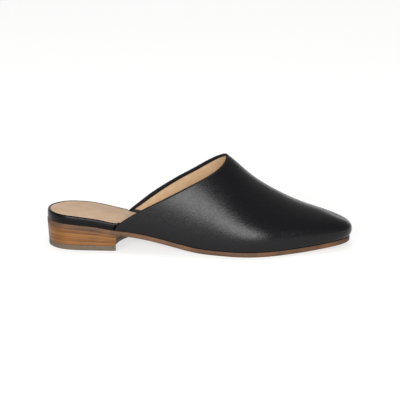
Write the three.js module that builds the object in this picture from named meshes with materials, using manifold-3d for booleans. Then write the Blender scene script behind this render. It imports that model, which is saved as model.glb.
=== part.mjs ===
// A low-heeled leather mule for the right foot: a closed vamp with an open back, on a leather outsole
// and a stacked heel. Every size is in millimetres. x runs from the back of the heel to the toe tip,
// +y is the inner side of the foot, -y the outer side, and z = 0 is the floor.
import * as THREE from "three";
import { mergeVertices } from "three/addons/utils/BufferGeometryUtils.js";
import Module from "manifold-3d";

const wasm = await Module();
wasm.setup();

// Driving dimensions
const shoeLength = 262; // back of the footbed to the tip of the upper
const heelSeatRadius = 27.4; // half the width of the round heel seat
const treadStart = 138; // the flat of the forefoot starts here
const treadEnd = 186; // and ends here, where the toe spring begins
const toeSpring = 4.5; // height of the outsole's tip above the floor
const toeSpringCurve = 1.8; // how late the spring sets in, 1 for a straight rise
const outsoleThickness = 4;
const outsoleTip = 260.2;
const footbedThickness = { heel: 7.8, forefoot: 5.5 };
const insoleThickness = 2.4;
const insoleProud = 0.4; // the insole stands this much above the footbed's rim
const rimWidth = 2; // black rim left showing round the insole
const wall = 2; // leather and lining together
const gap = 0.3; // left between pieces that meet
const topLiftThickness = 4.6;
const liftCount = 4;
const heelInset = { top: 0.1, floor: 1.1 }; // the heel narrows a little towards the floor
const breast = { x: 111.8, y: -14, radius: 53.2 }; // vertical cylinder that hollows the heel's front
const toeTip = { y: 3.2 }; // the foremost point lies this far to the inner side
const fanStart = 200; // from here on the upper's ribs turn round the toe
const ridgeEnd = 247; // the ridge is lost in the round of the toe here

// Plan of the outsole: distance of its edge from the centre line of the heel seat.
const outlineRows = [
  { at: 45, outer: 28.3, inner: 27.2 },
  { at: 60, outer: 28.6, inner: 25 },
  { at: 70, outer: 27.4, inner: 23.6 },
  { at: 82, outer: 26.8, inner: 22.6 },
  { at: 98, outer: 27.4, inner: 22 },
  { at: 114, outer: 29.6, inner: 22.8 },
  { at: 130, outer: 33.2, inner: 25 },
  { at: 146, outer: 38.2, inner: 28.8 },
  { at: 160, outer: 41.9, inner: 32.8 },
  { at: 174, outer: 43, inner: 36.2 },
  { at: 188, outer: 40.6, inner: 37.6 },
  { at: 204, outer: 34.9, inner: 36.4 },
  { at: 220, outer: 28.6, inner: 33 },
  { at: 235, outer: 21.8, inner: 27.8 },
  { at: 246, outer: 16.3, inner: 22.4 },
  { at: 254, outer: 10.8, inner: 16.8 },
  { at: 258.7, outer: 4.4, inner: 10.4 },
];

// Underside of the outsole behind the flat tread.
const undersideRows = [
  { at: 0, z: 19.4 },
  { at: 20, z: 18.7 },
  { at: 40, z: 17.2 },
  { at: 58, z: 14.4 },
  { at: 72, z: 12.3 },
  { at: 85, z: 9.9 },
  { at: 98, z: 7 },
  { at: 112, z: 3.8 },
  { at: 122, z: 1.7 },
  { at: 130, z: 0.5 },
  { at: treadStart, z: 0 },
];

// Cross-sections of the upper. crestY and crestZ place the ridge, swell is how far the wall stands out
// past the outsole at swellRise above it, and side and top say how square the shoulder between is.
const sectionRows = [
  { at: 50, crestY: 0, crestZ: 98, swell: 0, swellRise: 12, side: 0.62, top: 0.5 },
  { at: 80, crestY: 0, crestZ: 96.4, swell: 0.3, swellRise: 11.5, side: 0.6, top: 0.45 },
  { at: 110, crestY: 1, crestZ: 94, swell: 0.6, swellRise: 10, side: 0.5, top: 0.42 },
  { at: 130, crestY: 1.5, crestZ: 90, swell: 0.8, swellRise: 8.5, side: 0.44, top: 0.42 },
  { at: 145, crestY: 2, crestZ: 84.2, swell: 0.9, swellRise: 8, side: 0.42, top: 0.42 },
  { at: 156, crestY: 2.5, crestZ: 77.4, swell: 1, swellRise: 8, side: 0.42, top: 0.42 },
  { at: 166, crestY: 3, crestZ: 68.7, swell: 1, swellRise: 8, side: 0.43, top: 0.43 },
  { at: 175, crestY: 3.5, crestZ: 60.7, swell: 1, swellRise: 8, side: 0.45, top: 0.44 },
  { at: 184, crestY: 4, crestZ: 54.1, swell: 1, swellRise: 8, side: 0.47, top: 0.46 },
  { at: 202, crestY: 4.4, crestZ: 43.7, swell: 1, swellRise: 8, side: 0.5, top: 0.5 },
  { at: 220, crestY: 4.4, crestZ: 35.5, swell: 1.1, swellRise: 7.8, side: 0.54, top: 0.54 },
  { at: 238, crestY: 4, crestZ: 29.3, swell: 1.5, swellRise: 6.8, side: 0.56, top: 0.56 },
  { at: 256, crestY: 3.3, crestZ: 21.8, swell: 1.8, swellRise: 5, side: 0.56, top: 0.56 },
];

// Topline seen from the side: x at each height, on the outer and on the inner side of the foot.
const toplineRows = [
  { at: 6, outer: 58.6, inner: 62 },
  { at: 17, outer: 59.6, inner: 64.8 },
  { at: 21, outer: 61.4, inner: 67.3 },
  { at: 25, outer: 65.4, inner: 71.2 },
  { at: 30, outer: 72.8, inner: 77.2 },
  { at: 36, outer: 83.1, inner: 84.3 },
  { at: 43, outer: 96.6, inner: 93.4 },
  { at: 50, outer: 110, inner: 103.6 },
  { at: 57, outer: 123.3, inner: 114.6 },
  { at: 63, outer: 134.9, inner: 124.6 },
  { at: 69, outer: 145.8, inner: 133.6 },
  { at: 73, outer: 152.6, inner: 139.8 },
  { at: 76, outer: 157, inner: 144.8 },
  { at: 79, outer: 160.2, inner: 150 },
  { at: 84, outer: 163, inner: 158 },
  { at: 112, outer: 178, inner: 178 },
];

// A smooth function of x through a table's column: cubic pieces that share slopes where they meet.
function smooth(rows, column) {
  const slopes = rows.map((row, i) => {
    const before = rows[Math.max(i - 1, 0)];
    const after = rows[Math.min(i + 1, rows.length - 1)];
    return (after[column] - before[column]) / (after.at - before.at);
  });
  return (x) => {
    const next = rows.findIndex((row) => row.at > x);
    const i = next < 0 ? rows.length - 2 : Math.max(next - 1, 0);
    const span = rows[i + 1].at - rows[i].at;
    const t = THREE.MathUtils.clamp((x - rows[i].at) / span, 0, 1);
    const rise = rows[i + 1][column] - rows[i][column];
    const bend = (1 - t) * (slopes[i] * span - rise) - t * (slopes[i + 1] * span - rise);
    return rows[i][column] + t * rise + t * (1 - t) * bend;
  };
}

const risingUnderside = smooth(undersideRows, "z");
const toplineOuter = smooth(toplineRows, "outer");
const toplineInner = smooth(toplineRows, "inner");
const section = Object.fromEntries(
  ["crestY", "crestZ", "swell", "swellRise", "side", "top"].map((name) => [name, smooth(sectionRows, name)]),
);

// Height of the outsole's underside: heel pitch and arch, flat tread, toe spring.
function underside(x) {
  if (x < treadStart) return Math.max(risingUnderside(x), 0);
  if (x <= treadEnd) return 0;
  return toeSpring * ((x - treadEnd) / (outsoleTip - treadEnd)) ** toeSpringCurve;
}
const outsoleTop = (x) => underside(x) + outsoleThickness;
const footbedTop = (x) =>
  outsoleTop(x) +
  THREE.MathUtils.lerp(
    footbedThickness.heel,
    footbedThickness.forefoot,
    THREE.MathUtils.smoothstep(x, 0, 120),
  );

// How far the footbed's side lies inside the outsole's edge: nearly flush where it shows behind the upper,
// and clear of the upper's wall inside it.
const footbedInset = { seat: 0.4, vamp: 3.4 };
const seatClearance = 0.6; // measured along the foot, where the seat's end slants with the topline
const seatEnd = { start: 58.5, end: 62.5 }; // the insole narrows from one to the other over this stretch

// Closed plan curve of the outsole: outer side to the toe, round the tip, and back along the inner side.
const heelArc = [-60, -30, 0, 30, 60].map((degrees) => {
  const a = THREE.MathUtils.degToRad(degrees);
  return new THREE.Vector3(heelSeatRadius * (1 - Math.cos(a)), -heelSeatRadius * Math.sin(a), 0);
});
const planCurve = new THREE.CatmullRomCurve3(
  [
    ...heelArc,
    new THREE.Vector3(heelSeatRadius, -heelSeatRadius, 0),
    ...outlineRows.map((row) => new THREE.Vector3(row.at, -row.outer, 0)),
    new THREE.Vector3(outsoleTip, toeTip.y, 0),
    ...outlineRows.map((row) => new THREE.Vector3(row.at, row.inner, 0)).reverse(),
    new THREE.Vector3(heelSeatRadius, heelSeatRadius, 0),
  ],
  true,
  "centripetal",
);

// The outsole's outline moved inwards by inset(x), as points that run anticlockwise seen from above.
function outline(inset, count = 84) {
  const points = planCurve.getSpacedPoints(count).slice(0, count);
  return points.map((point, i) => {
    const before = points[(i + count - 1) % count];
    const after = points[(i + 1) % count];
    const along = after.clone().sub(before).normalize();
    const distance = inset(point.x);
    return new THREE.Vector2(point.x - along.y * distance, point.y + along.x * distance);
  });
}

// Where a ray from a point inside an outline leaves it.
function reach(points, origin, direction) {
  const side = new THREE.Vector2(-direction.y, direction.x);
  const distances = points.flatMap((p, i) => {
    const from = p.clone().sub(origin);
    const to = points[(i + 1) % points.length].clone().sub(origin);
    const [a, b] = [from.dot(side), to.dot(side)];
    return a > 0 === b > 0 ? [] : [from.lerp(to, a / (a - b)).dot(direction)];
  });
  return origin.clone().addScaledVector(direction, Math.max(...distances));
}

// Solids and geometries
function solidOf(geometry) {
  const plain = geometry.index ? geometry.toNonIndexed() : geometry.clone();
  plain.deleteAttribute("normal");
  plain.deleteAttribute("uv");
  const merged = mergeVertices(plain, 1e-4);
  const corners = [...merged.index.array];
  const triangles = [...Array(corners.length / 3).keys()].map((i) => corners.slice(3 * i, 3 * i + 3));
  return new wasm.Manifold(
    new wasm.Mesh({
      numProp: 3,
      vertProperties: merged.attributes.position.array,
      triVerts: new Uint32Array(triangles.filter((triangle) => new Set(triangle).size === 3).flat()),
    }),
  );
}

function geometryOf(solid) {
  const { vertProperties, triVerts } = solid.getMesh();
  const geometry = new THREE.BufferGeometry();
  geometry.setAttribute("position", new THREE.BufferAttribute(vertProperties, 3));
  geometry.setIndex(new THREE.BufferAttribute(triVerts, 1));
  return geometry;
}

// A closed skin over rings of points, with a fan across each end. A joined tip needs none: the two sides
// of its last ring lie on each other.
function loft(rings, joinedTip = false) {
  const ringSize = rings[0].length;
  const centre = (ring) => ring.reduce((sum, p) => sum.add(p), new THREE.Vector3()).divideScalar(ringSize);
  const vertices = [...rings.flat(), centre(rings[0]), centre(rings.at(-1))];
  const [firstCentre, lastCentre] = [vertices.length - 2, vertices.length - 1];
  const lastRing = (rings.length - 1) * ringSize;
  const indices = [];
  for (let j = 0; j < ringSize; j += 1) {
    const next = (j + 1) % ringSize;
    for (let start = 0; start < lastRing; start += ringSize) {
      const [a, b, c, d] = [start + j, start + next, start + ringSize + j, start + ringSize + next];
      indices.push(a, b, d, a, d, c);
    }
    indices.push(firstCentre, next, j);
    if (!joinedTip) indices.push(lastCentre, lastRing + j, lastRing + next);
  }
  const geometry = new THREE.BufferGeometry().setFromPoints(vertices);
  geometry.setIndex(indices);
  return geometry;
}

// Prism that stands on an outline.
function planPrism(points, height = 60) {
  return solidOf(new THREE.ExtrudeGeometry(new THREE.Shape(points), { depth: height, bevelEnabled: false }));
}

// Slab across the whole width between two height functions of x.
function slab(low, high, start = -2, end = outsoleTip + 2, width = 120) {
  const steps = Math.round((end - start) / 6);
  const stations = [...Array(steps + 1).keys()].map((i) => start + ((end - start) * i) / steps);
  const knots = [treadStart, treadEnd].filter((x) => x > start && x < end);
  const xs = [...new Set([...stations, ...knots])].sort((a, b) => a - b);
  const profile = new THREE.Shape([
    ...xs.map((x) => new THREE.Vector2(x, low(x))),
    ...xs.reverse().map((x) => new THREE.Vector2(x, high(x))),
  ]);
  const geometry = new THREE.ExtrudeGeometry(profile, { depth: width, bevelEnabled: false });
  return solidOf(geometry.rotateX(Math.PI / 2).translate(0, width / 2, 0));
}

// Upper: outer form less the same form moved in by the wall, open at the topline and at the sole.
const featherInset = 0.8; // the wall meets the outsole this far inside its edge
const below = 6; // the forms run this far below the outsole's top, to be cut off by it
const feather = outline(() => featherInset, 240);
const swellOutline = outline((x) => -section.swell(x), 240);

// A rib climbs from the feather edge round the swell and over the shoulder to the ridge, in the upright
// plane that leaves the ridge at an angle from straight across: 0 along the foot, 90 degrees at the tip.
function rib(ridgeX, turn, sign) {
  const ridge = new THREE.Vector3(ridgeX, section.crestY(ridgeX), section.crestZ(ridgeX));
  const slope = (section.crestZ(ridgeX + 1) - section.crestZ(ridgeX - 1)) / 2;
  const origin = new THREE.Vector2(ridge.x, ridge.y);
  const direction = new THREE.Vector2(Math.sin(turn), sign * Math.cos(turn));
  const footPlan = reach(feather, origin, direction);
  const swellPlan = reach(swellOutline, origin, direction);
  const footZ = outsoleTop(footPlan.x);
  const at = (plan, z) => new THREE.Vector3(plan.x, plan.y, z);
  const foot = at(footPlan, footZ);
  const swell = at(swellPlan, footZ + section.swellRise(ridgeX));
  const tuck = at(swellPlan, THREE.MathUtils.lerp(foot.z, swell.z, 0.3));
  const shoulder = at(swellPlan, THREE.MathUtils.lerp(swell.z, ridge.z, section.side(ridgeX)));
  const browPlan = origin.clone().lerp(swellPlan, section.top(ridgeX));
  const brow = at(browPlan, ridge.z + slope * (browPlan.x - ridgeX));
  return [
    at(footPlan, footZ - below),
    ...new THREE.QuadraticBezierCurve3(foot, tuck, swell).getPoints(3),
    ...new THREE.CubicBezierCurve3(swell, shoulder, brow, ridge).getPoints(13).slice(1),
  ];
}

const rearStation = 50;
const bodyRibs = 30;
const toeRibs = 17;
const fanEasing = { step: 1.53, turn: 1.8 }; // keeps the ribs evenly spaced as they turn
const bodyStations = [...Array(bodyRibs).keys()].map((i) => ({
  x: THREE.MathUtils.lerp(rearStation, fanStart, i / bodyRibs),
  turn: 0,
}));
const toeStations = [...Array(toeRibs + 1).keys()].map((i) => ({
  x: ridgeEnd - (ridgeEnd - fanStart) * (1 - i / toeRibs) ** fanEasing.step,
  turn: (Math.PI / 2) * (i / toeRibs) ** fanEasing.turn,
}));
const outerRings = [...bodyStations, ...toeStations].map(({ x, turn }) => [
  ...rib(x, turn, 1),
  ...rib(x, turn, -1).reverse().slice(1),
]);

// Each ring point moved in along the surface's own normal. Past the last ring, at the toe, the surface
// goes on down the other side, and that ring's middle point takes its neighbour's normal.
function thinned(rings, distance) {
  const last = rings.length - 1;
  const middle = (rings[0].length - 1) / 2;
  const normalAt = (i, j) => {
    const behind = rings[Math.max(i - 1, 0)];
    const ahead = rings[i + 1]?.[j] ?? behind[rings[i].length - 1 - j];
    const up = rings[i][Math.min(j + 1, rings[i].length - 1)];
    const down = rings[i][Math.max(j - 1, 0)];
    return ahead.clone().sub(behind[j]).cross(up.clone().sub(down)).normalize();
  };
  return rings.map((ring, i) =>
    ring.map((point, j) => {
      const normal = normalAt(i === last && j === middle ? last - 1 : i, j);
      return point.clone().addScaledVector(normal, distance);
    }),
  );
}

// Everything behind the topline, blended from the outer side's curve to the inner side's across the foot.
function toplineCutter() {
  const heights = [...Array(40).keys()].map((i) => THREE.MathUtils.lerp(6, 112, i / 39));
  const across = [...Array(15).keys()].map((i) => THREE.MathUtils.lerp(60, -60, i / 14));
  const rings = across.map((y) => {
    const share = THREE.MathUtils.smoothstep(y, -26, 26);
    const front = heights.map((z) => {
      const x = THREE.MathUtils.lerp(toplineOuter(z), toplineInner(z), share);
      return new THREE.Vector3(x, y, z);
    });
    return [new THREE.Vector3(-5, y, 6), ...front, new THREE.Vector3(-5, y, 112)];
  });
  return solidOf(loft(rings));
}

function upper() {
  const shell = solidOf(loft(outerRings, true)).subtract(solidOf(loft(thinned(outerRings, wall), true)));
  const underSole = slab(() => -20, (x) => outsoleTop(x) + gap, -10, shoeLength + 10);
  return shell.subtract(underSole).subtract(toplineCutter());
}

// Plates of the bottom
const outsole = () => planPrism(outline(() => 0)).intersect(slab(underside, outsoleTop));

const insoleInset = (x) =>
  rimWidth +
  THREE.MathUtils.lerp(
    footbedInset.seat,
    footbedInset.vamp,
    THREE.MathUtils.smoothstep(x, seatEnd.start, seatEnd.end),
  );
const insolePlan = (growth) => outline((x) => insoleInset(x) - growth);
const insoleUnder = (x) => footbedTop(x) + insoleProud - insoleThickness;

function footbed() {
  const behindUpper = toplineCutter().translate(-seatClearance, 0, 0);
  const seat = planPrism(outline(() => footbedInset.seat)).intersect(behindUpper);
  const plan = planPrism(outline(() => footbedInset.vamp)).add(seat);
  const board = plan.intersect(slab((x) => outsoleTop(x) + gap, footbedTop));
  const recess = planPrism(insolePlan(gap)).intersect(
    slab((x) => insoleUnder(x) - gap, (x) => footbedTop(x) + 10),
  );
  return board.subtract(recess);
}

const insole = () =>
  planPrism(insolePlan(0)).intersect(slab(insoleUnder, (x) => footbedTop(x) + insoleProud));

// Stacked heel: lifts that share the height between the top lift and the outsole, each a little wedged.
const heelEnd = 76;
const breastCylinder = solidOf(
  new THREE.CylinderGeometry(breast.radius, breast.radius, 60, 96)
    .rotateX(Math.PI / 2)
    .translate(breast.x, breast.y, 20),
);

function heelLayer(low, high, inset) {
  return planPrism(outline(() => inset))
    .intersect(slab(low, high, -4, heelEnd))
    .subtract(breastCylinder);
}

function heelLift(index) {
  const level = (share) => (x) => THREE.MathUtils.lerp(topLiftThickness, underside(x), share);
  const low = level(index / liftCount);
  const high = level((index + 1) / liftCount);
  const inset = THREE.MathUtils.lerp(heelInset.floor, heelInset.top, (index + 1) / liftCount);
  return heelLayer(low, (x) => high(x) - gap, inset);
}

const topLift = () => heelLayer(() => 0, () => topLiftThickness - gap, heelInset.floor);

// Finishes
const finishes = {
  blackCalf: new THREE.MeshStandardMaterial({ color: 0x1d1d1f, roughness: 0.38 }),
  blackEdge: new THREE.MeshStandardMaterial({ color: 0x222324, roughness: 0.5 }),
  beigeCalf: new THREE.MeshStandardMaterial({ color: 0xc9a988, roughness: 0.6 }),
  soleLeather: new THREE.MeshStandardMaterial({ color: 0x8a6a52, roughness: 0.55 }),
  stackedLeather: new THREE.MeshStandardMaterial({ color: 0xa8764a, roughness: 0.5 }),
  topLiftRubber: new THREE.MeshStandardMaterial({ color: 0x857a6c, roughness: 0.7 }),
};

const shoe = new THREE.Group();
function addPiece(name, solid, finish) {
  const mesh = new THREE.Mesh(geometryOf(solid), finishes[finish]);
  mesh.name = name;
  shoe.add(mesh);
}

addPiece("upper", upper(), "blackCalf");
addPiece("footbed", footbed(), "blackEdge");
addPiece("insole", insole(), "beigeCalf");
addPiece("outsole", outsole(), "soleLeather");
for (let i = 0; i < liftCount; i += 1) addPiece(`heel_lift_${i + 1}`, heelLift(i), "stackedLeather");
addPiece("top_lift", topLift(), "topLiftRubber");

// The origin is on the floor under the middle of the whole shoe.
const box = new THREE.Box3().setFromObject(shoe);
const middle = box.getCenter(new THREE.Vector3());
shoe.position.set(-middle.x, -middle.y, -box.min.z);

export default shoe;
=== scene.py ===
import math

import bmesh
import bpy
import numpy as np
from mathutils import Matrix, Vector


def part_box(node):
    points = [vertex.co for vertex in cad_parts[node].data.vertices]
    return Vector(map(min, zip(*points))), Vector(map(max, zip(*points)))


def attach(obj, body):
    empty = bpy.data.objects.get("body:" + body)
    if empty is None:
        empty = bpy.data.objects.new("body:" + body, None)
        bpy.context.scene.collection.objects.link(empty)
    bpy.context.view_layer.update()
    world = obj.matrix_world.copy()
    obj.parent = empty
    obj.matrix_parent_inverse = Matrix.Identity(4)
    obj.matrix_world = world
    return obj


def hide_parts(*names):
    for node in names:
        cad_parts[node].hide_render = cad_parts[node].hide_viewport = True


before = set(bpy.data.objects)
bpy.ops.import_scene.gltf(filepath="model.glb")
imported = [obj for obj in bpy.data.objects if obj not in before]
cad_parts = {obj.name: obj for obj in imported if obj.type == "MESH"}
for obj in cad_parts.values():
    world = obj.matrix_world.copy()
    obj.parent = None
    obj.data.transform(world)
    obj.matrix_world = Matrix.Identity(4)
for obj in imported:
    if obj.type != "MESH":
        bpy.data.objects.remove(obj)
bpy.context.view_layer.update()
print("frame loaded")

mm = 0.001

# The last that every piece is shaped over. Lengths are in millimetres, x from the back of the heel and
# y from the centre line of the heel seat, with the inner side of the foot at +y.
last = {
    "heelRadius": 27.4,
    "treadStart": 138,
    "treadEnd": 186,
    "toeSpring": 4.5,
    "springCurve": 1.8,  # 1 is a straight rise, and more sets in later
    "soleThickness": 4,
    "soleTip": (260.2, 3.2),
    "footbedHeel": 7.8,
    "footbedForefoot": 5.5,
    "footbedThins": (0, 120),  # from the one to the other between these places along the foot
    "clearance": 0.05,  # between the outsole and what stands on it
    "ridgeEnd": 247,  # the ridge is lost in the round of the toe here
    "fanStart": 200,  # ribs turn round the toe from here on
    "toplineBlend": (-26, 26),  # across the foot, the outer topline passes into the inner one
    "pointsPerSpan": 18,
    "planPoints": 640,
    "fairing": 16,  # rounds of smoothing over the sole's outline
}


def table(columns, *rows):
    return {name: np.array([row[i] for row in rows], float) for i, name in enumerate(columns)}


outlineRows = table(
    ("x", "outer", "inner"),
    (45, 28.3, 27.2), (60, 28.6, 25), (70, 27.4, 23.6), (82, 26.8, 22.6), (98, 27.4, 22), (114, 29.6, 22.8),
    (130, 33.2, 25), (146, 38.2, 28.8), (160, 41.9, 32.8), (174, 43, 36.2), (188, 40.6, 37.6),
    (204, 34.9, 36.4), (220, 28.6, 33), (235, 21.8, 27.8), (246, 16.3, 22.4), (254, 10.8, 16.8),
    (258.7, 4.4, 10.4),
)
undersideRows = table(
    ("x", "z"),
    (0, 19.4), (20, 18.7), (40, 17.2), (58, 14.4), (72, 12.3), (85, 9.9), (98, 7), (112, 3.8),
    (122, 1.7), (130, 0.5), (138, 0),
)
sectionRows = table(
    ("x", "ridgeY", "ridgeZ", "swell", "rise", "side", "top"),
    (50, 0, 98, 0, 12, 0.62, 0.5), (80, 0, 96.4, 0.3, 11.5, 0.6, 0.45), (110, 1, 94, 0.6, 10, 0.5, 0.42),
    (130, 1.5, 90, 0.8, 8.5, 0.44, 0.42), (145, 2, 84.2, 0.9, 8, 0.42, 0.42),
    (156, 2.5, 77.4, 1, 8, 0.42, 0.42), (166, 3, 68.7, 1, 8, 0.43, 0.43),
    (175, 3.5, 60.7, 1, 8, 0.45, 0.44), (184, 4, 54.1, 1, 8, 0.47, 0.46),
    (202, 4.4, 43.7, 1, 8, 0.5, 0.5), (220, 4.4, 35.5, 1.1, 7.8, 0.54, 0.54),
    (238, 4, 29.3, 1.5, 6.8, 0.56, 0.56), (256, 3.3, 21.8, 1.8, 5, 0.56, 0.56),
)
toplineRows = table(
    ("z", "outer", "inner"),
    (6, 58.6, 62), (17, 59.6, 64.8), (21, 61.4, 67.3), (25, 65.4, 71.2), (30, 72.8, 77.2), (36, 83.1, 84.3),
    (43, 96.6, 93.4), (50, 110, 103.6), (57, 123.3, 114.6), (63, 134.9, 124.6), (69, 145.8, 133.6),
    (73, 152.6, 139.8), (76, 157, 144.8), (79, 160.2, 150), (84, 163, 158), (112, 178, 178),
)


# A smooth curve through one column of a table. Fair curves also share their curvature at each row.
def through(rows, column, fair=True):
    at = rows["x"] if "x" in rows else rows["z"]
    value = rows[column]
    step = np.diff(at)
    chord = np.diff(value) / step
    slope = np.concatenate(([chord[0]], (value[2:] - value[:-2]) / (at[2:] - at[:-2]), [chord[-1]]))
    if fair:
        count = len(at)
        matrix = np.eye(count)
        wanted = slope.copy()
        for i in range(1, count - 1):
            matrix[i, i - 1:i + 2] = step[i], 2 * (step[i - 1] + step[i]), step[i - 1]
            wanted[i] = 3 * (step[i] * chord[i - 1] + step[i - 1] * chord[i])
        slope = np.linalg.solve(matrix, wanted)

    def curve(place):
        place = np.clip(place, at[0], at[-1])
        i = np.clip(np.searchsorted(at, place, side="right") - 1, 0, len(at) - 2)
        t = (place - at[i]) / step[i]
        rise = value[i + 1] - value[i]
        bend = (1 - t) * (slope[i] * step[i] - rise) - t * (slope[i + 1] * step[i] - rise)
        return value[i] + t * rise + t * (1 - t) * bend

    return curve


def lerp(a, b, t):
    return a + (b - a) * t


def smoothStep(value, low, high):
    t = np.clip((value - low) / (high - low), 0, 1)
    return t * t * (3 - 2 * t)


behindTread = through(undersideRows, "z", fair=False)
section = {name: through(sectionRows, name) for name in sectionRows if name != "x"}
toplineOuter = through(toplineRows, "outer")
toplineInner = through(toplineRows, "inner")


def underside(x):
    run = np.clip((x - last["treadEnd"]) / (last["soleTip"][0] - last["treadEnd"]), 0, None)
    rise = last["toeSpring"] * run ** last["springCurve"]
    return np.where(x < last["treadStart"], np.maximum(behindTread(x), 0), rise)


def soleTop(x):
    return underside(x) + last["soleThickness"]


def footbedTop(x):
    forward = smoothStep(x, *last["footbedThins"])
    return soleTop(x) + lerp(last["footbedHeel"], last["footbedForefoot"], forward)


def toplineAt(y, z):
    return lerp(toplineOuter(z), toplineInner(z), smoothStep(y, *last["toplineBlend"]))


# The outsole's closed outline, anticlockwise seen from above, as a dense run of points.
def solePlan():
    radius = last["heelRadius"]
    arc = [(radius * (1 - math.cos(a)), -radius * math.sin(a)) for a in np.radians([-60, -30, 0, 30, 60])]
    rows = list(zip(outlineRows["x"], outlineRows["outer"], outlineRows["inner"]))
    stops = arc + [(radius, -radius)] + [(x, -outer) for x, outer, _ in rows] + [last["soleTip"]]
    stops += [(x, inner) for x, _, inner in reversed(rows)] + [(radius, radius)]
    stops = np.array(stops)
    points = []
    for i in range(len(stops)):
        p = [stops[(i + k) % len(stops)] for k in (-1, 0, 1, 2)]
        d = [math.sqrt(np.linalg.norm(p[k + 1] - p[k])) for k in range(3)]
        leave = ((p[1] - p[0]) / d[0] - (p[2] - p[0]) / (d[0] + d[1]) + (p[2] - p[1]) / d[1]) * d[1]
        arrive = ((p[2] - p[1]) / d[1] - (p[3] - p[1]) / (d[1] + d[2]) + (p[3] - p[2]) / d[2]) * d[1]
        for t in np.arange(last["pointsPerSpan"]) / last["pointsPerSpan"]:
            points.append(
                p[1] * (2 * t ** 3 - 3 * t ** 2 + 1) + leave * (t ** 3 - 2 * t ** 2 + t)
                + p[2] * (3 * t ** 2 - 2 * t ** 3) + arrive * (t ** 3 - t ** 2)
            )
    points = evenly(np.array(points), last["planPoints"], closed=True)
    for _ in range(last["fairing"]):
        points = (np.roll(points, 1, 0) + 2 * points + np.roll(points, -1, 0)) / 4
    return points


# Points at equal distances along a run of points.
def evenly(points, count, closed=False):
    run = np.vstack((points, points[:1])) if closed else points
    along = np.concatenate(([0], np.cumsum(np.linalg.norm(np.diff(run, axis=0), axis=1))))
    wanted = np.linspace(0, along[-1], count, endpoint=not closed)
    return np.column_stack([np.interp(wanted, along, run[:, k]) for k in range(run.shape[1])])


plan = solePlan()


# The outline moved inwards by so many millimetres, a number or a function of its points.
def outline(inset):
    along = np.roll(plan, -1, 0) - np.roll(plan, 1, 0)
    along /= np.linalg.norm(along, axis=1)[:, None]
    distance = inset(plan) if callable(inset) else np.full(len(plan), inset)
    return plan + np.column_stack((-along[:, 1], along[:, 0])) * distance[:, None]


# The outline as two runs of points from the back of the heel to the tip: outer side, inner side.
def sides(inset, count):
    points = outline(inset)
    back, tip = np.argmin(points[:, 0]), np.argmax(points[:, 0])
    turned = np.roll(points, -back, axis=0)
    reach = (tip - back) % len(points)
    outer = turned[:reach + 1]
    inner = np.vstack((turned[reach:], turned[:1]))[::-1]
    return evenly(outer, count + 1), evenly(inner, count + 1)


# Where a ray from inside an outline leaves it.
def leaves(points, origin, direction):
    across = np.array((-direction[1], direction[0]))
    start = points - origin
    end = np.roll(start, -1, axis=0)
    a, b = start @ across, end @ across
    crossing = (a > 0) != (b > 0)
    share = (a[crossing] / (a[crossing] - b[crossing]))[:, None]
    distance = np.max((start[crossing] * (1 - share) + end[crossing] * share) @ direction)
    return origin + direction * distance


# The shoe's own place in the row frame, from the CAD outsole.
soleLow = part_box("outsole")[0]
shoeX = soleLow[0]
shoeY = soleLow[1] - plan[:, 1].min() * mm


def inRow(point):
    return Vector((point[0] * mm + shoeX, point[1] * mm + shoeY, point[2] * mm))


making = {
    "weldMm": 0.01,  # closer points become one
    "sharpDegrees": 40,  # an edge that turns further is drawn sharp
}


# Turns a finished bmesh into an object that rides on the shoe and stands for its CAD node.
def finishPiece(bm, name, material, replaced=()):
    bmesh.ops.remove_doubles(bm, verts=bm.verts, dist=making["weldMm"] * mm)
    bmesh.ops.recalc_face_normals(bm, faces=bm.faces)
    for face in bm.faces:
        face.smooth = True
    sharp = math.radians(making["sharpDegrees"])
    for edge in bm.edges:
        edge.smooth = len(edge.link_faces) != 2 or edge.calc_face_angle() < sharp
    mesh = bpy.data.meshes.new(name)
    bm.to_mesh(mesh)
    bm.free()
    piece = bpy.data.objects.new(name, mesh)
    bpy.context.scene.collection.objects.link(piece)
    mesh.materials.append(material)
    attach(piece, "root")
    if replaced:
        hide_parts(*replaced)
    print(name, len(mesh.polygons), "faces")
    return piece


# A grid whose vertex (i, j) is put at points[i][j].
def gridSheet(bm, points):
    rows, columns = len(points), len(points[0])
    made = bmesh.ops.create_grid(bm, x_segments=rows - 1, y_segments=columns - 1, size=1)["verts"]
    made.sort(key=lambda v: (round((v.co.x + 1) * (rows - 1) / 2), round((v.co.y + 1) * (columns - 1) / 2)))
    for vertex, point in zip(made, (p for row in points for p in row)):
        vertex.co = inRow(point)
    return [made[i * columns:(i + 1) * columns] for i in range(rows)]


# Closed loop of edges through a run of points.
def ringOf(bm, points):
    verts = bmesh.ops.create_circle(bm, segments=len(points), radius=1)["verts"]
    for vertex, point in zip(verts, points):
        vertex.co = inRow(point)
    return verts


def edgesAlong(verts, closed=True):
    pairs = zip(verts, verts[1:] + verts[:1] if closed else verts[1:])
    found = []
    for a, b in pairs:
        found += [edge for edge in a.link_edges if b in edge.verts]
    return found


# Upper: ribs climb from the feather edge round the swell and over the shoulder to the ridge. Behind
# fanStart they stand straight across the foot, and past it they turn until they meet at the tip.
vamp = {
    "featherInset": 0.8,
    "tuck": 0.3,  # share of the swell's height in which the wall leans out from the feather edge
    "rearRib": 50,  # behind the whole topline
    "ribStep": 1.5,
    "fanRibs": 48,
    "turnEasing": 1.8,  # keeps the ribs evenly apart as they turn
    "sidePoints": 52,
    "tuckPoints": 24,
    "shoulderPoints": 140,
    "columns": 130,
}
feather = outline(vamp["featherInset"])
swellLine = outline(lambda at: -section["swell"](at[:, 0]))


def bezier(controls, count):
    t = np.linspace(0, 1, count)[:, None]
    order = len(controls) - 1
    return sum(math.comb(order, k) * (1 - t) ** (order - k) * t ** k * c for k, c in enumerate(controls))


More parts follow.
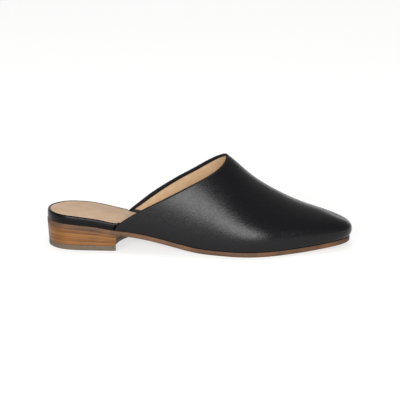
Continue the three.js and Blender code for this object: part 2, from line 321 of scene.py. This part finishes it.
def rib(ridgeX, turn, sign):
    ridge = np.array((ridgeX, section["ridgeY"](ridgeX), section["ridgeZ"](ridgeX)))
    slope = (section["ridgeZ"](ridgeX + 1) - section["ridgeZ"](ridgeX - 1)) / 2
    direction = np.array((math.sin(turn), sign * math.cos(turn)))
    footPlan = leaves(feather, ridge[:2], direction)
    swellPlan = leaves(swellLine, ridge[:2], direction)
    footZ = soleTop(footPlan[0]) + last["clearance"]
    swellZ = footZ + section["rise"](ridgeX)
    browPlan = lerp(ridge[:2], swellPlan, section["top"](ridgeX))
    foot = (*footPlan, footZ)
    tuck = (*swellPlan, lerp(footZ, swellZ, vamp["tuck"]))
    swell = (*swellPlan, swellZ)
    shoulder = (*swellPlan, lerp(swellZ, ridge[2], section["side"](ridgeX)))
    brow = (*browPlan, ridge[2] + slope * (browPlan[0] - ridgeX))
    lower = bezier(np.array((foot, tuck, swell)), vamp["tuckPoints"])
    higher = bezier(np.array((swell, shoulder, brow, ridge)), vamp["shoulderPoints"])
    return evenly(np.vstack((lower, higher[1:])), vamp["sidePoints"])


def ribStations():
    fan, end = last["fanStart"], last["ridgeEnd"]
    body = [(x, 0) for x in np.arange(vamp["rearRib"], fan, vamp["ribStep"])]
    turned = []
    easing = vamp["ribStep"] * vamp["fanRibs"] / (end - fan)
    for share in np.linspace(0, 1, vamp["fanRibs"] + 1):
        turned.append((end - (end - fan) * (1 - share) ** easing, math.pi / 2 * share ** vamp["turnEasing"]))
    return body + turned


def ribNormals(ribs):
    ahead = np.concatenate((ribs[1:], ribs[-2:-1, ::-1]))  # past the tip the surface goes down the other side
    behind = np.concatenate((ribs[:1], ribs[:-1]))
    up = np.concatenate((ribs[:, 1:], ribs[:, -1:]), axis=1)
    down = np.concatenate((ribs[:, :1], ribs[:, :-1]), axis=1)
    normal = np.cross(ahead - behind, up - down)
    normal[-1, vamp["sidePoints"] - 1] = normal[-2, vamp["sidePoints"] - 1]  # the two sides meet here
    return normal / np.linalg.norm(normal, axis=2)[:, :, None]


ribs = np.array([np.vstack((rib(x, turn, 1), rib(x, turn, -1)[-2::-1])) for x, turn in ribStations()])
inwards = ribNormals(ribs)
girth = np.arange(ribs.shape[1])


# A grid of ribs read at one station for each point of the girth, on a smooth curve between ribs.
def atStation(grid, station):
    i = np.clip(station.astype(int), 0, len(grid) - 2)
    t = (station - i)[:, None]
    a, b, c, d = [grid[np.clip(i + k, 0, len(grid) - 1), girth] for k in (-1, 0, 1, 2)]
    return b + 0.5 * t * (c - a + t * (2 * a - 5 * b + 4 * c - d + t * (3 * (b - c) + d - a)))


# Stations where the topline crosses each line of the girth, and how many stations one millimetre is
# when measured square to the topline.
def toplineStations():
    ahead = ribs[:, :, 0] - toplineAt(ribs[:, :, 1], ribs[:, :, 2])
    first = np.argmax(ahead > 0, axis=0)
    before, after = ahead[first - 1, girth], ahead[first, girth]
    start = first - 1 + before / (before - after)
    z = ribs[first, girth, 2]
    lean = (toplineOuter(z + 1) - toplineOuter(z - 1)) / 2
    return start, np.sqrt(1 + lean ** 2) / (after - before)


toplineStart, perMm = toplineStations()
lastStation = len(ribs) - 1


# Columns of the vamp from the topline to the toe: near ones at set distances, the rest evenly spread.
def vampColumns(distances, depth):
    near = [(toplineStart + d * perMm, depth) for d in distances]
    base = near[-1][0]
    shares = np.linspace(0, 1, vamp["columns"] + 1)[1:]
    return near + [(base + (lastStation - base) * share, depth) for share in shares]


# A closed shell of the vamp between a layer's two depths, with a lip of (distance, depth) steps at the
# topline. Each vertex keeps its distance from the topline and its height over the footbed, in mm, for
# the materials.
def vampShell(name, material, layer, lip, replaced=()):
    outerDepth, innerDepth = layer["depths"]
    inside = vampColumns(layer["inside"], innerDepth)
    outside = vampColumns(layer["outside"], outerDepth)
    turned = [(toplineStart + d * perMm, depth) for d, depth in lip]
    columns = inside[::-1] + turned + outside
    points = [atStation(ribs, station) + atStation(inwards, station) * depth for station, depth in columns]
    bm = bmesh.new()
    distance = bm.verts.layers.float.new("fromTopline")
    height = bm.verts.layers.float.new("aboveFootbed")
    grid = gridSheet(bm, points)
    for verts, place, (station, _) in zip(grid, points, columns):
        above = place[:, 2] - footbedTop(place[:, 0])
        for vertex, d, h in zip(verts, (station - toplineStart) / perMm, above):
            vertex[distance], vertex[height] = d, h
    for end in (0, -1):  # the wall's lower edge, inside to outside
        edge = [verts[end] for verts in grid]
        middle = len(inside) + len(turned) // 2
        halves = edgesAlong(edge[:middle], False) + edgesAlong(edge[middle + 1:], False)
        bmesh.ops.bridge_loops(bm, edges=halves)
    bmesh.ops.holes_fill(bm, edges=[edge for edge in bm.edges if edge.is_boundary], sides=3)
    return finishPiece(bm, name, material, replaced)


# A closed plate built up as rings round the foot, each an inset and a height as a function of x. Strips
# from side to side close it below and above, so it stays level across the foot.
def ringPlate(name, material, rings, count, replaced):
    bm = bmesh.new()
    loops = []
    for inset, height in rings:
        outer, inner = sides(inset, count)
        points = np.vstack((outer, inner[-2:0:-1]))
        heights = height(points[:, 0]) + np.zeros(len(points))
        loops.append(ringOf(bm, np.column_stack((points, heights))))
    for below, above in zip(loops, loops[1:]):
        bmesh.ops.bridge_loops(bm, edges=edgesAlong(below) + edgesAlong(above))
    for loop in (loops[0], loops[-1]):
        chains = edgesAlong(loop[1:count], False) + edgesAlong(loop[count + 1:], False)
        bmesh.ops.bridge_loops(bm, edges=chains)
    bmesh.ops.holes_fill(bm, edges=[edge for edge in bm.edges if edge.is_boundary], sides=3)
    return finishPiece(bm, name, material, replaced)


# sRGB hex to the linear colour that the shader works in.
def linear(hexColour):
    parts = [int(hexColour[i:i + 2], 16) / 255 for i in (1, 3, 5)]
    return (*[c / 12.92 if c <= 0.04045 else ((c + 0.055) / 1.055) ** 2.4 for c in parts], 1)


# Adds a node with its settings, values and links. Sockets go by name, or by number where a node repeats
# a name: a Mix node's colours are 6 and 7, and its colour comes out of 2.
def addNode(tree, kind, values=None, links=None, **settings):
    node = tree.nodes.new(kind)
    for name, value in settings.items():
        setattr(node, name, value)
    for socket, value in (values or {}).items():
        node.inputs[socket].default_value = value
    for socket, source in (links or {}).items():
        tree.links.new(source, node.inputs[socket])
    return node


# A material with its shader, and the piece's own coordinates for its patterns, which are in metres.
def startMaterial(name, **shaderValues):
    material = bpy.data.materials.new(name)
    material.use_nodes = True
    tree = material.node_tree
    tree.nodes.clear()
    shader = addNode(tree, "ShaderNodeBsdfPrincipled", shaderValues)
    addNode(tree, "ShaderNodeOutputMaterial", links={"Surface": shader.outputs[0]})
    place = addNode(tree, "ShaderNodeTexCoord").outputs["Object"]
    return material, tree, shader, place


calf = {
    "colour": "#070709",
    "worn": "#0B0B0E",
    "mottleMm": 16,
    "grainMm": 0.9,  # a little coarser than real box calf, so that it shows
    "grainDepthMm": 0.12,
    "bump": 0.5,
    "creaseMm": 2.6,
    "roughness": (0.2, 0.34),
    "refraction": 1.34,
    "fold": (2.0, 1.1),  # from the topline, where the dull folded edge starts and is full
    "foldRoughness": 0.75,
}


# Box calf: chrome-tanned, aniline dyed and plated smooth, so it has a low satin shine over a fine grain.
def boxCalf(name, finish, folded):
    material, tree, shader, place = startMaterial(name, IOR=finish["refraction"])
    mottle = addNode(tree, "ShaderNodeTexNoise", {"Scale": 1 / (calf["mottleMm"] * mm), "Detail": 3},
                     {"Vector": place})
    base = addNode(tree, "ShaderNodeMix", {6: linear(finish["colour"]), 7: linear(finish["worn"])},
                   {0: mottle.outputs[0]}, data_type="RGBA")
    tree.links.new(base.outputs[2], shader.inputs["Base Color"])
    pores = addNode(tree, "ShaderNodeTexVoronoi", {"Scale": 1 / (calf["grainMm"] * mm)}, {"Vector": place},
                    feature="SMOOTH_F1")
    creases = addNode(tree, "ShaderNodeTexNoise",
                      {"Scale": 1 / (calf["creaseMm"] * mm), "Detail": 5, "Roughness": 0.7},
                      {"Vector": place})
    low, high = calf["roughness"]
    polish = addNode(tree, "ShaderNodeMapRange",
                     {"From Min": 0.3, "From Max": 0.7, "To Min": low, "To Max": high},
                     {"Value": creases.outputs[0]})
    if folded:  # stretched leather is dull, and draws a dark line along the topline
        distance = addNode(tree, "ShaderNodeAttribute", attribute_name="fromTopline")
        start, full = calf["fold"]
        fold = addNode(tree, "ShaderNodeMapRange",
                       {"From Min": start, "From Max": full, "To Max": calf["foldRoughness"]},
                       {"Value": distance.outputs["Fac"]})
        polish = addNode(tree, "ShaderNodeMath", links={0: polish.outputs[0], 1: fold.outputs[0]},
                         operation="MAXIMUM")
    tree.links.new(polish.outputs[0], shader.inputs["Roughness"])
    height = addNode(tree, "ShaderNodeMath", links={0: pores.outputs[0], 1: creases.outputs[0]})
    grain = addNode(tree, "ShaderNodeBump",
                    {"Strength": finish["bump"], "Distance": calf["grainDepthMm"] * mm},
                    {"Height": height.outputs[0]})
    tree.links.new(grain.outputs[0], shader.inputs["Normal"])
    return material


lining = {
    "colour": "#C4A581",
    "shade": "#B79773",
    "roughness": 0.62,
    "refraction": 1.45,
    "mottleMm": 1000 / 90,  # 90 to the metre
    "poreMm": 0.8,  # coarser than real pores, so that they show
    "poreDepthMm": 0.08,
    "bump": 0.2,
    "darkened": (  # what it goes by, where it starts and is full, and its colour
        # painted shade under the calf's fold, over the lining's own browned cut edge
        ("fromTopline", 3.0, 2.3, "#4A3320"),
        # painted shade in the crease where the lining goes down beside the sock
        ("aboveFootbed", 2.2, 1.6, "#20160E"),
    ),
}


# Vegetable-tanned calf: undyed, matt and softly mottled. As a lining it is browned along its trimmed edge at
# the topline, where painted shade darkens it too, and painted shade darkens the crease where it goes down
# beside the sock.
def liningCalf(name, finish, trimmedAndShaded):
    surface = {"Roughness": lining["roughness"], "IOR": lining["refraction"]}
    material, tree, shader, place = startMaterial(name, **surface)
    mottle = addNode(tree, "ShaderNodeTexNoise",
                     {"Scale": 1 / (lining["mottleMm"] * mm), "Detail": 5, "Roughness": 0.6},
                     {"Vector": place})
    share = addNode(tree, "ShaderNodeMapRange", {"From Min": 0.35, "From Max": 0.65},
                    {"Value": mottle.outputs[0]})
    base = addNode(tree, "ShaderNodeMix", {6: linear(finish["colour"]), 7: linear(finish["shade"])},
                   {0: share.outputs[0]}, data_type="RGBA")
    darkened = lining["darkened"] if trimmedAndShaded else ()
    # each mark mixes painted shade into the lining by distance from the topline or height above the footbed
    for attribute, start, full, colour in darkened:
        distance = addNode(tree, "ShaderNodeAttribute", attribute_name=attribute)
        fade = addNode(tree, "ShaderNodeMapRange", {"From Min": start, "From Max": full},
                       {"Value": distance.outputs["Fac"]})
        base = addNode(tree, "ShaderNodeMix", {7: linear(colour)}, {0: fade.outputs[0], 6: base.outputs[2]},
                       data_type="RGBA")
    tree.links.new(base.outputs[2], shader.inputs["Base Color"])
    pores = addNode(tree, "ShaderNodeTexVoronoi", {"Scale": 1 / (lining["poreMm"] * mm)}, {"Vector": place})
    grain = addNode(tree, "ShaderNodeBump",
                    {"Strength": lining["bump"], "Distance": lining["poreDepthMm"] * mm},
                    {"Height": pores.outputs[0]})
    tree.links.new(grain.outputs[0], shader.inputs["Normal"])
    return material


fibre = {
    "stretch": (0.06, 0.06, 1),  # streaks lie level, and are about 17 times as long as they are thick
    "blotchMm": 1000 / 70,  # 70 to the metre
    "depthMm": 0.15,
    "bump": 0.25,
    "refraction": 1.38,
}


# Leather cut across its layers and burnished: brown, with the fibres in fine level streaks.
def layeredLeather(name, light, dark, finish):
    surface = {"Roughness": finish["roughness"], "IOR": fibre["refraction"]}
    material, tree, shader, place = startMaterial(name, **surface)
    stretched = addNode(tree, "ShaderNodeMapping", {"Scale": fibre["stretch"]}, {"Vector": place})
    streaks = addNode(tree, "ShaderNodeTexNoise",
                      {"Scale": 1 / (finish["streakMm"] * mm), "Detail": 4, "Roughness": 0.6},
                      {"Vector": stretched.outputs[0]})
    blotch = addNode(tree, "ShaderNodeTexNoise", {"Scale": 1 / (fibre["blotchMm"] * mm), "Detail": 3},
                     {"Vector": place})
    both = addNode(tree, "ShaderNodeMath", links={0: streaks.outputs[0], 1: blotch.outputs[0]})
    share = addNode(tree, "ShaderNodeMapRange", {"From Min": 0.75, "From Max": 1.25},
                    {"Value": both.outputs[0]})
    base = addNode(tree, "ShaderNodeMix", {6: linear(light), 7: linear(dark)}, {0: share.outputs[0]},
                   data_type="RGBA")
    tree.links.new(base.outputs[2], shader.inputs["Base Color"])
    grain = addNode(tree, "ShaderNodeBump", {"Strength": fibre["bump"], "Distance": fibre["depthMm"] * mm},
                    {"Height": streaks.outputs[0]})
    tree.links.new(grain.outputs[0], shader.inputs["Normal"])
    return material


rubber = {
    "colour": "#594B3C",
    "speck": "#42392D",
    "roughness": 0.7,
    "refraction": 1.5,
    "speckMm": 1000 / 900,  # 900 to the metre, far coarser than real filler, so that it shows
    "depthMm": 0.1,
    "bump": 0.2,
}


# Moulded rubber of the top lift: matt, lightly speckled with filler.
def liftRubber(name):
    surface = {"Roughness": rubber["roughness"], "IOR": rubber["refraction"]}
    material, tree, shader, place = startMaterial(name, **surface)
    specks = addNode(tree, "ShaderNodeTexNoise", {"Scale": 1 / (rubber["speckMm"] * mm), "Detail": 2},
                     {"Vector": place})
    share = addNode(tree, "ShaderNodeMapRange", {"From Min": 0.45, "From Max": 0.7},
                    {"Value": specks.outputs[0]})
    base = addNode(tree, "ShaderNodeMix", {6: linear(rubber["colour"]), 7: linear(rubber["speck"])},
                   {0: share.outputs[0]}, data_type="RGBA")
    tree.links.new(base.outputs[2], shader.inputs["Base Color"])
    grain = addNode(tree, "ShaderNodeBump", {"Strength": rubber["bump"], "Distance": rubber["depthMm"] * mm},
                    {"Height": specks.outputs[0]})
    tree.links.new(grain.outputs[0], shader.inputs["Normal"])
    return material


# Upper: black calf whose topline edge is turned in over the lining. Steps are distances from the topline
# and depths below the calf's outside, in mm.
upper = {
    "foldRadius": 1.0,
    "foldPoints": 9,
    "foldEnd": ((2.45, 1.2), (2.35, 1.85), (2.15, 2.0)),
    "leather": {"depths": (0, 1.2), "inside": (2.6, 3.4, 4.5, 6), "outside": (1.4, 2, 2.8, 3.8, 4.8, 6)},
    "lining": {"depths": (1.3, 2.0), "inside": (2.75, 3.1, 3.8, 4.8, 6), "outside": (2.7, 4.4, 6)},
    "liningLip": ((2.6, 1.95), (2.52, 1.8), (2.55, 1.35)),
}


# The calf's lip, from its cut end inside the shoe round the fold to the outside.
def foldedLip():
    r = upper["foldRadius"]
    turn = np.radians(np.linspace(0, 180, upper["foldPoints"]))
    return [*upper["foldEnd"], *((r - r * math.sin(a), r + r * math.cos(a)) for a in turn)]


blackCalf = boxCalf("boxCalfBlack", calf, True)
beigeLining = liningCalf("liningCalfBeige", lining, True)
vampShell("vampLeather", blackCalf, upper["leather"], foldedLip(), ["upper"])
vampShell("vampLining", beigeLining, upper["lining"], upper["liningLip"])

# Outsole: one plate of leather, its edge trimmed square and burnished
outsole = {
    "bevel": 0.45,
    "shoulder": 0.14,
    "points": 170,
    "light": "#61422A",
    "dark": "#44301F",
    "finish": {"streakMm": 1.4, "roughness": 0.6},
}


def outsoleRings():
    bevel, shoulder = outsole["bevel"], outsole["shoulder"]
    return [
        (2 * bevel, underside),
        (shoulder, lambda x: underside(x) + shoulder),
        (0, lambda x: underside(x) + bevel),
        (0, lambda x: soleTop(x) - bevel),
        (shoulder, lambda x: soleTop(x) - shoulder),
        (bevel, soleTop),
    ]


soleLeather = layeredLeather("soleLeatherBurnished", outsole["light"], outsole["dark"], outsole["finish"])
ringPlate("outsoleLeather", soleLeather, outsoleRings(), outsole["points"], ["outsole"])

# Footbed: the black rim that shows round the heel and ends at the upper's slanting rear edge
footbed = {
    "seatInset": 0.3,
    "vampInset": 3.4,
    "step": (-1.7, -0.3),  # the seat narrows over this stretch, measured from the topline
    "points": 220,
    "finish": {"colour": "#050403", "worn": "#090807", "bump": 0.3, "refraction": 1.25},
    "rim": ((0.1, -7.9), (-0.05, -6.5), (-0.15, -4.5), (-0.05, -2.2), (0.1, -1.0), (0.45, -0.3), (0.95, 0),
            (1.45, -0.15), (1.85, -0.6), (2.0, -1.2), (2.0, -2.2)),  # inset and height, from the top
}


def footbedInset(at, z):
    ahead = at[:, 0] - toplineAt(at[:, 1], z)
    return lerp(footbed["seatInset"], footbed["vampInset"], smoothStep(ahead, *footbed["step"]))


def rimRing(inset, drop):
    share = -drop / last["footbedHeel"]

    def height(x):
        return footbedTop(x) - share * (footbedTop(x) - soleTop(x) - last["clearance"])

    return lambda at: footbedInset(at, height(at[:, 0])) + inset, height


blackRim = boxCalf("boxCalfRim", footbed["finish"], False)
rimRings = [rimRing(*step) for step in footbed["rim"]]
ringPlate("footbedRim", blackRim, rimRings, footbed["points"], ["footbed"])

# Insole: the beige sock, softly crowned and rounded down at its edge
sock = {
    "inset": 2.25,
    "thickness": 2.0,
    "proud": 0.5,
    "crown": 0.9,
    "crownReach": 22,  # the crown is full this far inside the edge
    "edge": 1.1,
    "rows": 150,
    "across": 36,
    "finish": {"colour": "#CEB092", "shade": "#C2A384"},
}


def sockInset(at):
    return footbedInset(at, footbedTop(at[:, 0])) + sock["inset"]


def sockPiece():
    border = outline(sockInset)
    outer, inner = sides(sockInset, sock["rows"])
    share = (1 - np.cos(np.linspace(0, math.pi, sock["across"]))) / 2  # closest together at the two edges
    edge = sock["edge"]
    top, bottom = [], []
    for a, c in zip(outer, inner):
        row = a + (c - a) * share[:, None]
        away = np.min(np.linalg.norm(row[:, None] - border[None], axis=2), axis=1)
        rounding = np.sqrt(np.clip(edge ** 2 - np.clip(edge - away, 0, edge) ** 2, 0, None)) - edge
        crown = sock["crown"] * (smoothStep(away, 0, sock["crownReach"]) - 0.5)
        z = footbedTop(row[:, 0]) + sock["proud"] + rounding + crown
        top.append(np.column_stack((row, z)))
        bottom.append(np.column_stack((row, footbedTop(row[:, 0]) - sock["thickness"])))
    bm = bmesh.new()
    gridSheet(bm, top)
    gridSheet(bm, bottom)
    bmesh.ops.remove_doubles(bm, verts=bm.verts, dist=making["weldMm"] * mm)
    bmesh.ops.bridge_loops(bm, edges=[edge for edge in bm.edges if edge.is_boundary])
    return finishPiece(bm, "sockLeather", beigeSock, ["insole"])


beigeSock = liningCalf("sockCalfBeige", sock["finish"], False)
sockPiece()

# Heel: four stacked lifts over a rubber top lift, all hollowed at the front by one upright cylinder
heel = {
    "topLift": 4.6,
    "topLiftTaper": 0.15,
    "joint": 0.04,  # the fine line between two layers
    "insetTop": 0.1,
    "insetFloor": 1.1,
    "bevel": 0.28,
    "topBevel": 0.5,
    "bevelTurn": 0.3,  # share of a bevel where it turns, which leaves it rounded
    "breast": (112.6, -14),
    "breastRadius": 53.2,
    "reach": 80,  # the heel ends behind this place
    "sidePoints": 70,
    "breastPoints": 40,
    "finish": {"streakMm": 1.1, "roughness": 0.42},
    "stack": (  # the light and dark colours of each lift, from the floor up
        ("#7E5120", "#66401A"), ("#784B1C", "#5E3815"), ("#80541F", "#69431B"), ("#704620", "#583615"),
    ),
}


def heelRing(inset, bevel, height):
    points = outline(inset + bevel)
    points = np.roll(points, -np.argmin(points[:, 0]), axis=0)
    centre, radius = np.array(heel["breast"]), heel["breastRadius"] + bevel
    kept = (points[:, 0] < heel["reach"]) & (np.linalg.norm(points - centre, axis=1) > radius)
    tip = np.argmax(points[:, 0])
    outer, inner = points[:tip][kept[:tip]], points[tip:][kept[tip:]]
    ends = [math.atan2(p[1] - centre[1], p[0] - centre[0]) % (2 * math.pi) for p in (outer[-1], inner[0])]
    turn = np.linspace(*ends, heel["breastPoints"])
    breast = centre + radius * np.column_stack((np.cos(turn), np.sin(turn)))
    run = np.vstack((evenly(outer, heel["sidePoints"]), breast, evenly(inner, heel["sidePoints"])))
    return np.column_stack((run, height(run[:, 0])))


# One layer of the heel, between two height functions. The stack narrows a little towards the floor.
def heelPiece(name, material, low, high, insetLow, insetHigh, bevel, replaced):
    shoulder = heel["bevelTurn"] * bevel
    rings = [(insetLow, bevel, low), (insetLow, shoulder, lambda x: low(x) + shoulder),
             (insetLow, 0, lambda x: low(x) + bevel), (insetHigh, 0, lambda x: high(x) - bevel),
             (insetHigh, shoulder, lambda x: high(x) - shoulder), (insetHigh, bevel, high)]
    bm = bmesh.new()
    loops = [ringOf(bm, heelRing(*ring)) for ring in rings]
    for below, above in zip(loops, loops[1:]):
        bmesh.ops.bridge_loops(bm, edges=edgesAlong(below) + edgesAlong(above))
    for loop in (loops[0], loops[-1]):
        cap = bmesh.ops.contextual_create(bm, geom=edgesAlong(loop))["faces"]
        bmesh.ops.triangulate(bm, faces=cap)
    return finishPiece(bm, name, material, replaced)


def liftLevel(share):
    return lambda x: lerp(heel["topLift"], underside(x), share)


def heelInset(share):
    return lerp(heel["insetFloor"], heel["insetTop"], share)


for i, (light, dark) in enumerate(heel["stack"]):
    start, end = i / len(heel["stack"]), (i + 1) / len(heel["stack"])
    leather = layeredLeather(f"stackedLeather{i + 1}", light, dark, heel["finish"])
    heelPiece(f"heelLift{i + 1}", leather, liftLevel(start),
              lambda x, high=liftLevel(end): high(x) - heel["joint"], heelInset(start), heelInset(end),
              heel["bevel"], [f"heel_lift_{i + 1}"])
heelPiece("topLiftPiece", liftRubber("topLiftRubber"), lambda x: 0 * x,
          lambda x: 0 * x + heel["topLift"] - heel["joint"], heel["insetFloor"] + heel["topLiftTaper"],
          heel["insetFloor"], heel["topBevel"], ["top_lift"])
print("pieces made")

# Floor, light and camera, in metres
studio = {
    "paper": {"colour": "#B4B4B3", "size": 12, "roughness": 0.9, "glow": 0.62},
    "aim": (0.0, -0.02, 0.025),
    "azimuth": 2.4,
    "elevation": 15.5,
    "distance": 1.7,
    "sensorMm": 36,
    "frameWidth": 0.339,  # metres across the picture at the aim
    "framing": (0.0014, 0.0188),  # the middle of the picture lies this far right of and above the aim
    "air": 0.36,  # strength of the even light from all round
    "softboxes": {  # place, aim, size and watts
        "windowFront": ((-0.3, -2.4, 0.72), (0, 0, 0.1), (3.3, 0.95), 98),
        "overhead": ((0, 0.5, 1.7), (0, 0, 0), (1.0, 0.5), 8),
        "backdropGlow": ((0, 2.4, 0.35), (0, 0, 0.1), (3.0, 0.5), 5),
    },
}


# Studio paper: pale and matt, with a glow of its own as if lit from below, so the shadow stays faint.
def floorPiece():
    paper = studio["paper"]
    bm = bmesh.new()
    bmesh.ops.create_grid(bm, x_segments=1, y_segments=1, size=paper["size"] / 2)
    mesh = bpy.data.meshes.new("studioFloor")
    bm.to_mesh(mesh)
    bm.free()
    floor = bpy.data.objects.new("studioFloor", mesh)
    bpy.context.scene.collection.objects.link(floor)
    surface = {"Base Color": linear(paper["colour"]), "Roughness": paper["roughness"],
               "Emission Color": linear("#FFFFFF"), "Emission Strength": paper["glow"]}
    mesh.materials.append(startMaterial("floorPaper", **surface)[0])


def softbox(name, place, aim, size, power):
    light = bpy.data.lights.new(name, "AREA")
    light.shape = "RECTANGLE"
    light.size, light.size_y = size
    light.energy = power
    lamp = bpy.data.objects.new(name, light)
    lamp.location = place
    lamp.visible_camera = False
    lamp.rotation_euler = (Vector(aim) - Vector(place)).to_track_quat("-Z", "Y").to_euler()
    bpy.context.scene.collection.objects.link(lamp)


def studioCamera():
    turn, tilt = math.radians(studio["azimuth"]), math.radians(studio["elevation"])
    ahead = Vector((-math.sin(turn) * math.cos(tilt), math.cos(turn) * math.cos(tilt), -math.sin(tilt)))
    right = Vector((math.cos(turn), math.sin(turn), 0))
    up = right.cross(ahead)
    aim = Vector(studio["aim"])
    place = aim - ahead * studio["distance"]
    middle = aim + right * studio["framing"][0] + up * studio["framing"][1]
    data = bpy.data.cameras.new("studioCamera")
    data.sensor_width = studio["sensorMm"]
    data.lens = data.sensor_width * studio["distance"] / studio["frameWidth"]
    camera = bpy.data.objects.new("studioCamera", data)
    camera.location = place
    camera.rotation_euler = (middle - place).to_track_quat("-Z", "Y").to_euler()
    bpy.context.scene.collection.objects.link(camera)
    bpy.context.scene.camera = camera


floorPiece()
for name, setting in studio["softboxes"].items():
    softbox(name, *setting)
world = bpy.data.worlds.new("studioAir")
bpy.context.scene.world = world
world.use_nodes = True
air = world.node_tree.nodes["Background"]
air.inputs["Color"].default_value = linear("#FFFFFF")
air.inputs["Strength"].default_value = studio["air"]
bpy.context.scene.view_settings.view_transform = "Standard"
studioCamera()
print("studio set")
